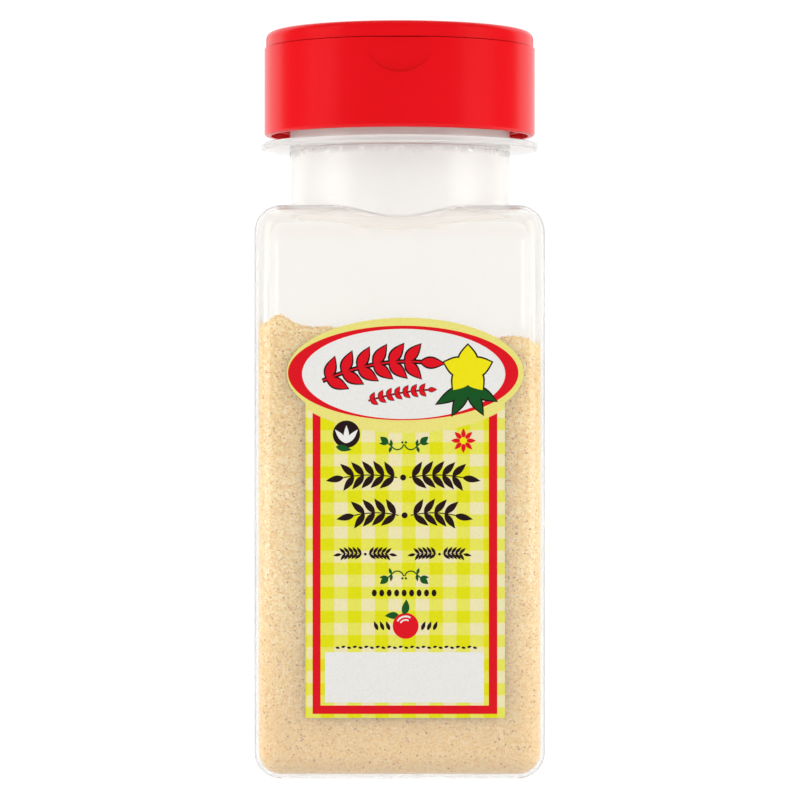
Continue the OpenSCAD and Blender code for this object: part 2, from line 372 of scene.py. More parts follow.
def clear_plastic(name, clearness, roughness):
    """Blown plastic, clear or cloudy. Light passes it without casting a dark shadow."""
    s = Surface(
        name, Base_Color=srgb(248, 247, 245), Roughness=roughness, IOR=1.5,
        Transmission_Weight=clearness)
    s.bump(s.noise(24 * MM, 0.0), 0.05 * MM, 0.4)
    path = s.nodes.new("ShaderNodeLightPath")
    pass_through = s.nodes.new("ShaderNodeBsdfTransparent")
    pass_through.inputs[0].default_value = (0.985, 0.985, 0.98, 1)
    choose = s.nodes.new("ShaderNodeMixShader")
    s.links.new(path.outputs["Is Shadow Ray"], choose.inputs[0])
    s.links.new(s.shader.outputs[0], choose.inputs[1])
    s.links.new(pass_through.outputs[0], choose.inputs[2])
    s.links.new(choose.outputs[0], s.output.inputs["Surface"])
    return s.material


def spice_powder():
    """Fine tan powder, deeper in tone near the floor, with orange, brown and dark flecks."""
    s = Surface("ground_spice_powder", Specular_IOR_Level=0.2)
    middle, tone = s.grains(0.42 * MM)
    _, fleck = s.grains(0.30 * MM)
    powder = s.ramp(tone, [
        (0.0, srgb(236, 188, 102)), (0.5, srgb(252, 219, 138)), (1.0, srgb(255, 239, 184))])
    flecks = s.ramp(fleck, [
        (0.0, srgb(247, 214, 142)), (0.80, srgb(240, 192, 104)), (0.93, srgb(224, 160, 74)),
        (0.984, srgb(172, 110, 54)), (0.997, srgb(80, 54, 36))], step=True)
    is_fleck = s.math("GREATER_THAN", fleck, 0.80)
    patches = s.noise(7 * MM, 3.0)
    warm = s.mix(s.spread(patches, -0.4, 0.7), powder, srgb(246, 206, 128))
    place = s.nodes.new("ShaderNodeSeparateXYZ")
    s.links.new(s.place, place.inputs[0])
    depth = s.nodes.new("ShaderNodeMapRange")
    s.links.new(place.outputs[2], depth.inputs["Value"])
    depth.inputs["From Min"].default_value = 36 * MM
    depth.inputs["From Max"].default_value = 2 * MM
    depth.inputs["To Max"].default_value = 0.45
    settled = s.mix(depth.outputs[0], warm, srgb(238, 184, 90))
    s.colour(s.mix(is_fleck, settled, flecks))
    s.roughness(s.spread(patches, 0.85, 1.0))
    height = s.math("ADD", s.noise(0.5 * MM, 3.0, 0.7), s.math("MULTIPLY", middle, -0.6))
    s.bump(height, 0.35 * MM, 0.9)
    return s.material


def cap_red():
    """Glossy red polypropylene with a faint moulded skin."""
    s = Surface("cap_red_plastic", Specular_IOR_Level=0.25)
    broad = s.noise(14 * MM, 2.0)
    fine = s.noise(0.25 * MM, 2.0)
    s.colour(s.mix(s.spread(broad, 0.0, 1.0), srgb(226, 0, 8), srgb(236, 2, 20)))
    s.roughness(s.spread(fine, 0.18, 0.30))
    height = s.math("ADD", s.math("MULTIPLY", fine, 0.12), broad)
    s.bump(height, 0.02 * MM, 0.5)
    return s.material


def seal_foam():
    """Matt pale foam with fine cells."""
    s = Surface("seal_foam", Specular_IOR_Level=0.3)
    middle, tone = s.grains(0.22 * MM)
    s.colour(s.ramp(tone, [(0.0, srgb(226, 226, 220)), (1.0, srgb(244, 244, 240))]))
    s.roughness(s.spread(tone, 0.75, 0.95))
    s.bump(middle, 0.08 * MM, 0.8)
    return s.material


GINGHAM_PALE = srgb(240, 230, 182)
GINGHAM_MID = srgb(233, 230, 92)
GINGHAM_FULL = srgb(227, 225, 4)
LABEL_RED = srgb(224, 5, 27)
LABEL_WHITE = srgb(236, 235, 231)
OVAL_YELLOW = srgb(237, 227, 126)
CHECK_W = 5.46
CHECK_H = 4.84
CHECK_START_Z = 2.75


def paper(s, colour):
    """Satin printed film: the print's colour with a faint fibre and ink mottle."""
    mottle = s.noise(0.35 * MM, 3.0, 0.6)
    shade = s.mix(s.spread(mottle, -0.06, 0.14), colour, srgb(60, 44, 24))
    s.colour(shade)
    s.roughness(s.spread(mottle, 0.34, 0.52))
    s.bump(s.math("ADD", mottle, s.noise(6 * MM, 1.0)), 0.012 * MM, 0.5)


def label_axes(s):
    """The label's own x and z in millimetres."""
    split = s.nodes.new("ShaderNodeSeparateXYZ")
    s.links.new(s.place, split.inputs[0])
    return tuple(s.math("MULTIPLY", split.outputs[i], 1 / MM) for i in (0, 2))


def stripes(s, value, start, period):
    """1 on the first half of each period, else 0."""
    return s.math(
        "LESS_THAN", s.math("FRACT", s.math("DIVIDE", s.math("SUBTRACT", value, start), period)),
        0.5)


def gingham(s, x, z, start_x):
    """Checks of three tones, from stripes both ways."""
    across = stripes(s, x, start_x, CHECK_W)
    along = stripes(s, z, CHECK_START_Z, CHECK_H)
    either = s.math("MAXIMUM", across, along)
    both = s.math("MULTIPLY", across, along)
    return s.mix(both, s.mix(either, GINGHAM_PALE, GINGHAM_MID), GINGHAM_FULL)


def in_box(s, x, z, low_x, high_x, low_z, high_z):
    return s.math("MULTIPLY", s.between(x, low_x, high_x), s.between(z, low_z, high_z))


def in_oval(s, x, z, mid_x, mid_z, half_x, half_z):
    across = s.math("POWER", s.math("DIVIDE", s.math("SUBTRACT", x, mid_x), half_x), 2)
    along = s.math("POWER", s.math("DIVIDE", s.math("SUBTRACT", z, mid_z), half_z), 2)
    return s.math("LESS_THAN", s.math("ADD", across, along), 1.0)


def front_print():
    """Gingham ground, red frame, blank panel and three ovals at the top, laid out in mm."""
    s = Surface("front_label_print", Specular_IOR_Level=0.15)
    x, z = label_axes(s)
    middle = LABEL_X / MM
    oval_z = OVAL_Z / MM
    colour = gingham(s, x, z, middle - 17.0)
    outer = in_box(s, x, z, middle - 18.6, middle + 18.5, 13.5, oval_z)
    inner = in_box(s, x, z, middle - 17.0, middle + 16.8, 15.2, oval_z)
    panel = in_box(s, x, z, middle - 16.1, middle + 15.8, 15.8, 25.9)
    colour = s.mix(panel, colour, LABEL_WHITE)
    colour = s.mix(s.math("SUBTRACT", outer, inner), colour, LABEL_RED)
    ovals = [
        (middle, oval_z, OVAL_A / MM + 1, OVAL_B / MM + 1, OVAL_YELLOW),
        (middle - 0.4, oval_z, 23.15, 9.5, LABEL_RED),
        (middle - 0.3, oval_z - 0.2, 20.4, 9.05, LABEL_WHITE)]
    for *oval, ink in ovals:
        colour = s.mix(in_oval(s, x, z, *oval), colour, ink)
    paper(s, colour)
    return s.material


def back_print():
    """Plain cream panel with a gingham border and a red line round it."""
    s = Surface("back_label_print", Specular_IOR_Level=0.15)
    x, z = label_axes(s)
    low = BACK_LOW / MM
    high = BACK_HIGH / MM
    colour = gingham(s, x, z, -19.11)
    for inset, ink in [(3.2, LABEL_RED), (4.2, LABEL_WHITE)]:
        inside = in_box(
            s, x, z, low.x + inset, high.x - inset, low.z + inset, high.z - inset)
        colour = s.mix(inside, colour, ink)
    paper(s, colour)
    return s.material


def printing_ink(name, colour):
    """One printed colour, slightly glossier than the film under it."""
    s = Surface(name, Specular_IOR_Level=0.15)
    mottle = s.noise(0.3 * MM, 2.0)
    s.colour(s.mix(s.spread(mottle, -0.05, 0.1), colour, srgb(48, 38, 24)))
    s.roughness(s.spread(mottle, 0.3, 0.45))
    s.bump(mottle, 0.008 * MM, 0.4)
    return s.material


# ---- Jar ----

def thread_rise(angle, z):
    """How far the jar's thread stands out at that angle and height."""
    rise = 0
    for turn in range(-1, 3):
        along = angle / (2 * math.pi) + turn
        if not 0 <= along <= THREAD_TURNS:
            continue
        off = abs(z - (THREAD_Z + THREAD_PITCH * along))
        slope = (THREAD_ROOT_W - THREAD_CREST_W) / 2
        share = min(max((THREAD_ROOT_W / 2 - off) / slope, 0), 1)
        to_end = min(along, THREAD_TURNS - along)
        fade = min(1, to_end / THREAD_RUN_IN + THREAD_START)
        rise = max(rise, THREAD_DEPTH * share * fade)
    return rise


def neck_rings(spots, path):
    """The neck's round profile, with the thread on its outside."""
    rings = []
    for p in path:
        ring = []
        for c, n in spots:
            facing = (c + n * CORNER_R).normalized()
            angle = math.atan2(facing.y, facing.x) % (2 * math.pi)
            outside = abs(p.x - NECK_R) < CLOSE and p.y > RING_TOP_Z
            r = p.x + (thread_rise(angle, p.y) if outside else 0)
            ring.append(Vector((facing.x * r, facing.y * r, p.y)))
        rings.append(ring)
    return rings


def wall_ripple(p, depth):
    """How much thinner the blown wall is at a point, from nothing to the depth."""
    return depth * (0.5 + 0.5 * noise.noise(Vector((p.x, p.y, p.z)) / (16 * MM)))


def base_rings(spots, lift):
    """The recessed floor from its middle out to the foot rim and up round the base's edge.

    The lift is 0 for the jar's outside, and sets what lies inside that far in from it.
    """
    inset = EDGE_R + FOOT_RIM
    step = 0.35 * MM
    recess = plan_ring(spots, HALF_W - inset, HALF_D - inset, CORNER_R / 2, PUSH_UP)
    rings = [scaled(recess, share, PUSH_UP + lift) for share in (0.3, 0.6, 0.85)]
    for out, z in [(-1, PUSH_UP), (-0.3, 0.9 * PUSH_UP), (0.3, 0.2 * PUSH_UP), (1, 0)]:
        rings.append(plan_ring(
            spots, HALF_W - inset + out * step, HALF_D - inset + out * step,
            CORNER_R / 2 + out * step, z + lift))
    flat = CORNER_R - EDGE_R
    edge = EDGE_R - lift
    foot = body_ring(spots, flat, lift)
    rings.append([a.lerp(b, 0.5) for a, b in zip(rings[-1], foot)])
    for i in range(ROUND_STEPS + 1):
        a = math.pi / 2 * i / ROUND_STEPS
        rings.append(body_ring(spots, flat + edge * math.sin(a), lift + edge * (1 - math.cos(a))))
    return rings


def jar_shell():
    """The whole moulding: clear walls, and a cloudier neck and ring."""
    material = clear_plastic("clear_plastic", clearness=0.9, roughness=0.05)
    spots = outline(corner_steps=14, long_steps=40, short_steps=30)
    rings = base_rings(spots, 0)
    wall_steps = 26
    wall_h = BODY_H - 2 * EDGE_R
    for i in range(1, wall_steps):
        rings.append(body_ring(spots, CORNER_R, EDGE_R + wall_h * i / wall_steps))
    outer_steps = 22
    rings += shoulder_rings(spots, CORNER_R, EDGE_R, BODY_H, NECK_R, NECK_FILLET, outer_steps)
    neck_start = rings[-1]
    neck_steps = 8
    neck_end = RING_Z - RING_ROOT_R
    for i in range(1, neck_steps):
        rings.append([
            Vector((p.x, p.y, p.z + (neck_end - p.z) * i / neck_steps)) for p in neck_start])
    bore_end = BODY_H + 2 * MM
    profile = rounded([
        (NECK_R, neck_end, 0),
        (NECK_R, RING_Z, RING_ROOT_R), (RING_R, RING_Z, RING_EDGE_R),
        (RING_R, RING_TOP_Z, RING_EDGE_R), (NECK_R, RING_TOP_Z, RING_ROOT_R),
        (NECK_R, LIP_Z, LIP_EDGE_R), (BORE_R, LIP_Z, LIP_EDGE_R),
        (BORE_R, bore_end, 0)])
    longest_step = 0.4 * MM
    rings += neck_rings(spots, divided(profile, longest_step))
    inner_corner = CORNER_R - WALL
    inner_edge = EDGE_R - WALL
    inner_steps = 20
    rings += reversed(shoulder_rings(
        spots, inner_corner, inner_edge, BODY_H - WALL, BORE_R, NECK_FILLET, inner_steps))
    low_z = WALL + inner_edge
    high_z = BODY_H - WALL - inner_edge
    ease_steps = 3
    ripple = 0.2 * MM
    for i in range(1, wall_steps):
        ring = body_ring(spots, inner_corner, high_z + (low_z - high_z) * i / wall_steps)
        ease = min(1, i / ease_steps, (wall_steps - i) / ease_steps)
        rings.append([
            p + Vector((n.x, n.y, 0)) * wall_ripple(p, ripple) * ease
            for p, (c, n) in zip(ring, spots)])
    rings += reversed(base_rings(spots, WALL))
    piece = loft("jar_shell", rings, Vector((0, 0, PUSH_UP)), Vector((0, 0, FLOOR_Z)), material)
    piece.data.materials.append(clear_plastic("cloudy_plastic", clearness=0.6, roughness=0.2))
    crease_z = BODY_H - 2.7 * MM
    for face in piece.data.polygons:
        c = face.center
        in_neck = math.hypot(c.x, c.y) < NECK_R + 0.05 * MM and c.z > crease_z
        face.material_index = 1 if in_neck or c.z > RING_Z else 0
    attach(piece, "jar")
    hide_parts("jar_body")


# ---- Spice ----

def heap(x, centre, width):
    """1 at the centre, falling off smoothly over the width to either side."""
    return math.exp(-((x - centre) / width) ** 2)


def fill_height(x, y):
    """Height of the spice's top: it leans down to the right and has a heap at the left."""
    lean = SPICE_TOP - SPICE_LEAN * (x - FILL_LOW.x) / (FILL_HIGH.x - FILL_LOW.x)
    mound = 1.5 * MM * heap(x, -24 * MM, 2.8 * MM) + 0.4 * MM * heap(x, 23.5 * MM, 3 * MM)
    droop = 0.9 * MM * heap(x, 29 * MM, 2 * MM)
    p = Vector((x, y, 0))
    lumps = 0.8 * noise.noise(p / (7 * MM)) + 0.45 * noise.noise(p / (2.2 * MM))
    crumbs = 0.3 * noise.noise(p / (0.8 * MM))
    return lean + mound - droop + (lumps + crumbs) * MM


def spice_fill(material):
    """The powder as one closed mass, with small hollows where it meets the wall."""
    spots = outline(corner_steps=20, long_steps=96, short_steps=72)
    corner = CORNER_R - WALL - FILL_GAP
    rings = base_rings(spots, WALL + FILL_GAP)
    tops = [fill_height(p.x, p.y) for p in body_ring(spots, corner, 0)]
    levels = 90
    for i in range(1, levels + 1):
        ring = []
        for (c, n), top in zip(spots, tops):
            z = EDGE_R + (top - EDGE_R) * i / levels
            p = Vector((c.x + n.x * corner, c.y + n.y * corner, z))
            hollow = max(noise.noise(p / (1.7 * MM)) - 0.15, 0) * 0.5 * MM
            ring.append(p - Vector((n.x, n.y, 0)) * hollow)
        rings.append(ring)
    rim = rings[-1]
    top_steps = 60
    for i in range(1, top_steps):
        share = 1 - i / top_steps
        rings.append([
            Vector((p.x * share, p.y * share, fill_height(p.x * share, p.y * share)))
            for p in rim])
    floor_middle = Vector((0, 0, FLOOR_Z + FILL_GAP))
    top_middle = Vector((0, 0, fill_height(0, 0)))
    piece = loft("spice_fill", rings, floor_middle, top_middle, material)
    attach(piece, "jar")
    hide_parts("ground_spice")


def crumb(points, faces, place, size, rng):
    """Adds one small angular grain to the lists."""
    start = len(points)
    shape = [(1, 0, 0), (-1, 0, 0), (0, 1, 0), (0, -1, 0), (0, 0, 1), (0, 0, -1)]
    for x, y, z in shape:
        stretch = size * rng.uniform(0.6, 1.2)
        shift = Vector([rng.uniform(-0.3, 0.3) * size for _ in range(3)])
        points.append(place + Vector((x, y, z)) * stretch + shift)
    upper = [(0, 2, 4), (2, 1, 4), (1, 3, 4), (3, 0, 4)]
    lower = [(2, 0, 5), (1, 2, 5), (3, 1, 5), (0, 3, 5)]
    for a, b, c in upper + lower:
        faces.append((start + a, start + b, start + c))


def spice_crumbs(material):
    """Loose grains on the spice's top and a few that cling to the wall above it."""
    rng = random.Random(7)
    points = []
    faces = []
    inset = WALL + 1.0 * MM
    reach_x = HALF_W - inset
    reach_y = HALF_D - inset
    for _ in range(TOP_CRUMBS):
        x = rng.uniform(-reach_x, reach_x)
        y = rng.uniform(-reach_y, reach_y)
        # Half of them lie close to the front wall, where they show.
        if rng.random() < 0.5:
            y = -reach_y + rng.random() ** 2 * 5 * MM
        if past_core(x, y) > CORNER_R - inset:
            continue
        size = rng.uniform(0.12, 0.42) * MM
        crumb(points, faces, Vector((x, y, fill_height(x, y) + 0.3 * size)), size, rng)
    for _ in range(CLINGING_CRUMBS):
        x = rng.choice((-1, 1)) * rng.uniform(16 * MM, CORE_X)
        size = rng.uniform(0.05, 0.12) * MM
        above = rng.random() ** 3 * 9 * MM
        place = Vector((x, -(HALF_D - WALL - size - 0.02 * MM), fill_height(x, -reach_y) + above))
        crumb(points, faces, place, size, rng)
    piece = mesh_object("spice_crumbs", points, faces, material, smooth=False)
    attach(piece, "jar")


# ---- Labels ----

def on_wall(x, z, lift, side):
    """Point lifted off the body's wall on its FRONT or BACK side, which wraps the corners."""
    past = abs(x) - CORE_X
    radius = CORNER_R + lift
    if past <= 0:
        return Vector((x, side * (CORE_Y + radius), z))
    a = math.asin(min(past / CORNER_R, 1))
    out = math.copysign(CORE_X + radius * math.sin(a), x)
    return Vector((out, side * (CORE_Y + radius * math.cos(a)), z))


def skin(name, flat, faces, low, thickness, side, material, lifts=None):
    """Closed thin skin on the wall over a flat net of (x, z) points, each with its own lift."""
    count = len(flat)
    lows = [low + lift for lift in lifts or [0] * count]
    points = [on_wall(x, z, lift + thickness, side) for (x, z), lift in zip(flat, lows)]
    points += [on_wall(x, z, lift, side) for (x, z), lift in zip(flat, lows)]
    edges = {}
    for face in faces:
        for a, b in zip(face, face[1:] + face[:1]):
            edges[(a, b)] = edges.get((a, b), 0) + 1
    solid = [tuple(f) for f in faces]
    solid += [tuple(v + count for v in reversed(f)) for f in faces]
    for a, b in edges:
        if (b, a) not in edges:
            solid.append((b, a, a + count, b + count))
    if side > 0:
        solid = [tuple(reversed(f)) for f in solid]
    return mesh_object(name, points, solid, material, smooth=False)


def strip(flat, faces, columns, rows):
    """Adds a net of quads to the lists. Each column is (x, low z, high z)."""
    start = len(flat)
    for x, low, high in columns:
        flat += [(x, low + (high - low) * j / rows) for j in range(rows + 1)]
    for i in range(len(columns) - 1):
        for j in range(rows):
            a = start + i * (rows + 1) + j
            b = a + rows + 1
            faces.append([a, b, b + 1, a + 1])


def merged(flat, faces):
    """The same net with points at one place joined."""
    seen = {}
    points = []
    index = []
    for x, z in flat:
        key = (round(x * 1e7), round(z * 1e7))
        if key not in seen:
            seen[key] = len(points)
            points.append((x, z))
        index.append(seen[key])
    return points, [[index[v] for v in face] for face in faces]


def oval_rise(x):
    """Half height of the oval at x."""
    share = min(abs(x - LABEL_X) / OVAL_A, 1)
    return OVAL_B * math.sqrt(1 - share * share)


def front_label(material):
    """The front label's film: a rectangle with the wider oval across its top."""
    flat = []
    faces = []
    wing_steps = 14
    body_steps = 48
    oval_rows = 8
    lower_rows = 24
    low_z = OVAL_Z - oval_rise(LABEL_X + LABEL_HALF_W)
    for side in (-1, 1):
        columns = []
        for i in range(wing_steps + 1):
            a = math.acos(LABEL_HALF_W / OVAL_A) * (1 - i / wing_steps)
            x = LABEL_X + side * OVAL_A * math.cos(a)
            columns.append((x, OVAL_Z - oval_rise(x), OVAL_Z + oval_rise(x)))
        columns[-1] = (LABEL_X + side * OVAL_A, OVAL_Z, OVAL_Z + CLOSE)
        if side < 0:
            columns.reverse()
        strip(flat, faces, columns, oval_rows)
    xs = [LABEL_X + LABEL_HALF_W * (2 * i / body_steps - 1) for i in range(body_steps + 1)]
    strip(flat, faces, [(x, low_z, OVAL_Z + oval_rise(x)) for x in xs], oval_rows)
    strip(flat, faces, [(x, LABEL_LOW.z, low_z) for x in xs], lower_rows)
    flat, faces = merged(flat, faces)
    piece = skin("label_front", flat, faces, FILM_GAP, FILM_T, FRONT, material)
    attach(piece, "jar")
    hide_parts("front_label")


def back_label(material):
    """The back label's film, a plain rectangle."""
    flat = []
    faces = []
    steps = 40
    width = BACK_HIGH.x - BACK_LOW.x
    columns = [
        (BACK_LOW.x + width * i / steps, BACK_LOW.z, BACK_HIGH.z) for i in range(steps + 1)]
    strip(flat, faces, columns, steps)
    piece = skin("label_back", flat, faces, FILM_GAP, FILM_T, BACK, material)
    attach(piece, "jar")
    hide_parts("back_label")


class Ink:
    """Printed shapes of one colour, gathered as outlines and made into one thin piece.

    Each shape lies a hair above the one before, so that no two faces coincide.
    """

    def __init__(self, name, material, layer):
        self.name = name
        self.material = material
        self.layer = layer
        self.flat = []
        self.faces = []
        self.lifts = []
        self.count = 0

    def shape(self, points):
        """A filled outline of (x, z) points in millimetres, anticlockwise."""
        start = len(self.flat)
        self.flat += [(x * MM, z * MM) for x, z in points]
        self.lifts += [self.count % SHAPE_LIFTS * SHAPE_LIFT] * len(points)
        self.count += 1
        for a, b, c in tessellate_polygon([[Vector((x, z, 0)) for x, z in points]]):
            ax, az = points[a]
            bx, bz = points[b]
            cx, cz = points[c]
            if (bx - ax) * (cz - az) - (bz - az) * (cx - ax) < 0:
                b, c = c, b
            self.faces.append([start + a, start + b, start + c])

    def make(self, side, slot):
        low = INK_LOW + INK_LAYER * self.layer
        piece = skin(
            self.name, self.flat, self.faces, low, INK_T, side, self.material, self.lifts)
        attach(piece, "jar")


def leaf(x, z, length, width, angle, bend=0.0, steps=10):
    """Outline of a leaf from its foot at (x, z), pointed at both ends. Angle in degrees."""
    a = math.radians(angle)
    spine = []
    for i in range(steps + 1):
        t = i / steps
        spine.append((t * length, bend * length * 4 * t * (1 - t)))
    half = [width / 2 * math.sin(math.pi * (i / steps) ** 0.8) for i in range(steps + 1)]
    lower = [(u, v - h) for (u, v), h in zip(spine, half)]
    upper = [(u, v + h) for (u, v), h in zip(spine, half)][1:-1]
    points = lower + upper[::-1]
    return [
        (x + u * math.cos(a) - v * math.sin(a), z + u * math.sin(a) + v * math.cos(a))
        for u, v in points]


def disc(x, z, radius, steps=28, squash=1.0):
    """Outline of a circle, or of an oval where it is squashed."""
    return [
        (x + radius * math.cos(2 * math.pi * i / steps),
         z + squash * radius * math.sin(2 * math.pi * i / steps)) for i in range(steps)]


def stroke(points, width):
    """Outline of a line of even width through the points."""
    left = []
    right = []
    for i, (x, z) in enumerate(points):
        x0, z0 = points[max(i - 1, 0)]
        x1, z1 = points[min(i + 1, len(points) - 1)]
        length = math.hypot(x1 - x0, z1 - z0)
        nx, nz = -(z1 - z0) / length * width / 2, (x1 - x0) / length * width / 2
        left.append((x + nx, z + nz))
        right.append((x - nx, z - nz))
    return right + left[::-1]


def arc(x, z, radius, start, end, steps=12):
    """Points on an arc from one angle to another, in degrees."""
    result = []
    for i in range(steps + 1):
        a = math.radians(start + (end - start) * i / steps)
        result.append((x + radius * math.cos(a), z + radius * math.sin(a)))
    return result


def curve_point(start, end, rise, t):
    """Point and direction, in degrees, at share t of a shallow arch from start to end."""
    x = start[0] + (end[0] - start[0]) * t
    z = start[1] + (end[1] - start[1]) * t + rise * 4 * t * (1 - t)
    slope = end[1] - start[1] + rise * 4 * (1 - 2 * t)
    return x, z, math.degrees(math.atan2(slope, end[0] - start[0]))


def branch(layer, start, end, rise, pairs, length, width, grow=0.0, splay=48):
    """A stem with pairs of leaves along it and one at its tip. Grow fattens every leaf."""
    steps = 16
    stem = [curve_point(start, end, rise, i / steps)[:2] for i in range(steps + 1)]
    layer.shape(stroke(stem, 0.16 * width + 2 * grow))
    for i in range(pairs + 1):
        t = (i + 0.3) / (pairs + 0.3)
        x, z, heading = curve_point(start, end, rise, t)
        for turn in ((0,) if i == pairs else (splay, -splay)):
            a = math.radians(heading + turn)
            foot = (x - grow * math.cos(a), z - grow * math.sin(a))
            layer.shape(leaf(*foot, length + 2 * grow, width + 2 * grow, heading + turn))


def garland(layer, x, z, half, pairs, length, width, rise=0.5):
    """Two branches that grow away from a berry in the middle."""
    gap = 0.45 * width
    layer.shape(disc(x, z, gap, 16))
    for side in (-1, 1):
        start = (x + side * 2 * gap, z)
        end = (x + side * (half - length), z)
        branch(layer, start, end, rise, pairs, length, width)


def sprig(layer, x, z, flip):
    """Two curled stems with leaves, each the other's mirror image, about x."""
    for side in (-1, 1):
        def at(points):
            return [(x + side * u, z + flip * v) for u, v in points]

        def add(points):
            points = at(points)
            layer.shape(points if side * flip > 0 else points[::-1])
        add(stroke(arc(1.35, 1.35, 1.25, -170, -40), 0.26))
        add(stroke([(2.3, 0.5), (2.9, 1.1), (3.5, 1.6)], 0.26))
        add(leaf(3.2, 1.4, 2.1, 1.25, 38))
        add(leaf(3.3, 1.3, 1.7, 0.7, 2))
        add(leaf(2.5, 0.8, 1.4, 0.6, 82))
        add(leaf(2.6, 0.7, 1.3, 0.6, -72))
        add(disc(0.35, 1.55, 0.24, 12))


def front_ornament():
    """Generic leaves, seeds and a flower where such a label carries its words, in mm."""
    black = Ink("print_front_black", printing_ink("ink_black", srgb(32, 12, 10)), 0)
    red = Ink("print_front_red", printing_ink("ink_red", LABEL_RED), 1)
    green = Ink("print_front_green", printing_ink("ink_green", srgb(12, 84, 30)), 1)
    yellow = Ink("print_front_yellow", printing_ink("ink_yellow", srgb(240, 228, 10)), 2)
    white = Ink("print_front_white", printing_ink("ink_white", LABEL_WHITE), 2)
    middle = LABEL_X / MM

    mark_stem = ((middle - 16.6, 80.4), (middle + 3.2, 84.2), 1.3)
    branch(black, *mark_stem, 6, 4.6, 1.9, grow=0.34)
    branch(red, *mark_stem, 6, 4.6, 1.9)
    small_stem = ((middle - 7.4, 76.4), (middle + 4.6, 78.6), 0.4)
    branch(black, *small_stem, 7, 1.7, 0.8, grow=0.14)
    branch(red, *small_stem, 7, 1.7, 0.8)

    flower_x = middle + 12.6
    flower_z = 82.6
    for i in range(5):
        turn = 90 + 72 * i
        black.shape(leaf(flower_x, flower_z, 5.4, 4.2, turn))
        yellow.shape(leaf(flower_x, flower_z, 5.0, 3.6, turn))
    red.shape(disc(flower_x, flower_z, 1.6))
    for turn, length in [(-150, 7.2), (-118, 6.6), (-62, 6.4), (-28, 6.4)]:
        foot = (flower_x, flower_z - 3.2)
        black.shape(leaf(*foot, length + 0.5, 2.7, turn))
        green.shape(leaf(*foot, length, 2.1, turn))

    garland(black, middle - 0.4, 61.0, 15.6, 5, 3.7, 1.35)
    garland(black, middle - 0.1, 53.4, 13.8, 4, 3.7, 1.35)
    garland(black, middle - 8.0, 45.6, 6.5, 5, 1.7, 0.62, 0.2)
    garland(black, middle + 6.9, 45.6, 6.5, 5, 1.7, 0.62, 0.2)
    sprig(green, middle - 0.2, 66.5, 1)
    sprig(green, middle - 0.2, 42.3, -1)
    for i in range(9):
        black.shape(disc(middle - 6.2 + 1.5 * i, 37.8, 0.5, 14, squash=1.4))
    for i in range(25):
        x = middle - 14.0 + 1.15 * i
        black.shape(leaf(x, 26.9, 0.95, 0.5, 12 if i % 2 else -12, steps=5))

    bud_x = middle - 11.8
    black.shape(disc(bud_x, 69.7, 2.75))
    for turn in (50, 90, 130):
        white.shape(leaf(bud_x, 67.9, 3.6, 1.1, turn))
    green.shape(leaf(bud_x - 2.1, 67.2, 3.2, 1.3, -12))

    rosette_x = middle + 11.7
    rosette_z = 68.4
    eye = 0.5
    for i in range(8):
        turn = 45 * i
        a = math.radians(turn)
        foot = (rosette_x + eye * math.cos(a), rosette_z + eye * math.sin(a))
        red.shape(leaf(*foot, 2.0, 0.9, turn))
    yellow.shape(disc(rosette_x, rosette_z, 0.7, 16))

    berry_x = middle + 0.1
    berry_z = 31.2
    red.shape(disc(berry_x, berry_z, 2.6))
    white.shape(stroke(arc(berry_x, berry_z, 1.9, 60, 150), 0.35))
    white.shape(stroke(arc(berry_x, berry_z, 1.2, 60, 150), 0.3))
    green.shape(leaf(berry_x - 0.4, berry_z + 2.2, 3.2, 1.5, 80, -0.05))
    green.shape(leaf(berry_x - 1.2, berry_z + 1.9, 3.0, 1.4, 178, -0.05))
    for side in (-1, 1):
        for i in range(3):
            x = berry_x + side * (3.2 + 1.2 * i)
            black.shape(leaf(x, berry_z - 0.9, 2.0, 0.75, 68 if side > 0 else 112))

    for layer in (black, red, green, yellow, white):
        layer.make(FRONT, "front_print")


def back_ornament():
    """Plain ruled lines and one sprig, standing for the particulars on a back label."""
    grey = Ink("print_back_grey", printing_ink("ink_grey", srgb(96, 92, 84)), 0)
    green = Ink("print_back_green", printing_ink("ink_back_green", srgb(12, 84, 30)), 1)
    line_start = 14.5
    line_h = 0.5
    full = 29
    short = 18
    for i in range(9):
        z = 58 - 4.2 * i
        line_end = line_start - (short if i % 3 == 2 else full)
        top = z + line_h
        grey.shape([(line_end, z), (line_start, z), (line_start, top), (line_end, top)])
    sprig(green, 0, 66, 1)
    for layer in (grey, green):
        layer.make(BACK, "back_print")


# ---- Cap ----

def paint(node, material):
    """Gives a CAD node its finished material."""
    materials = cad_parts[node].data.materials
    materials.clear()
    materials.append(material)


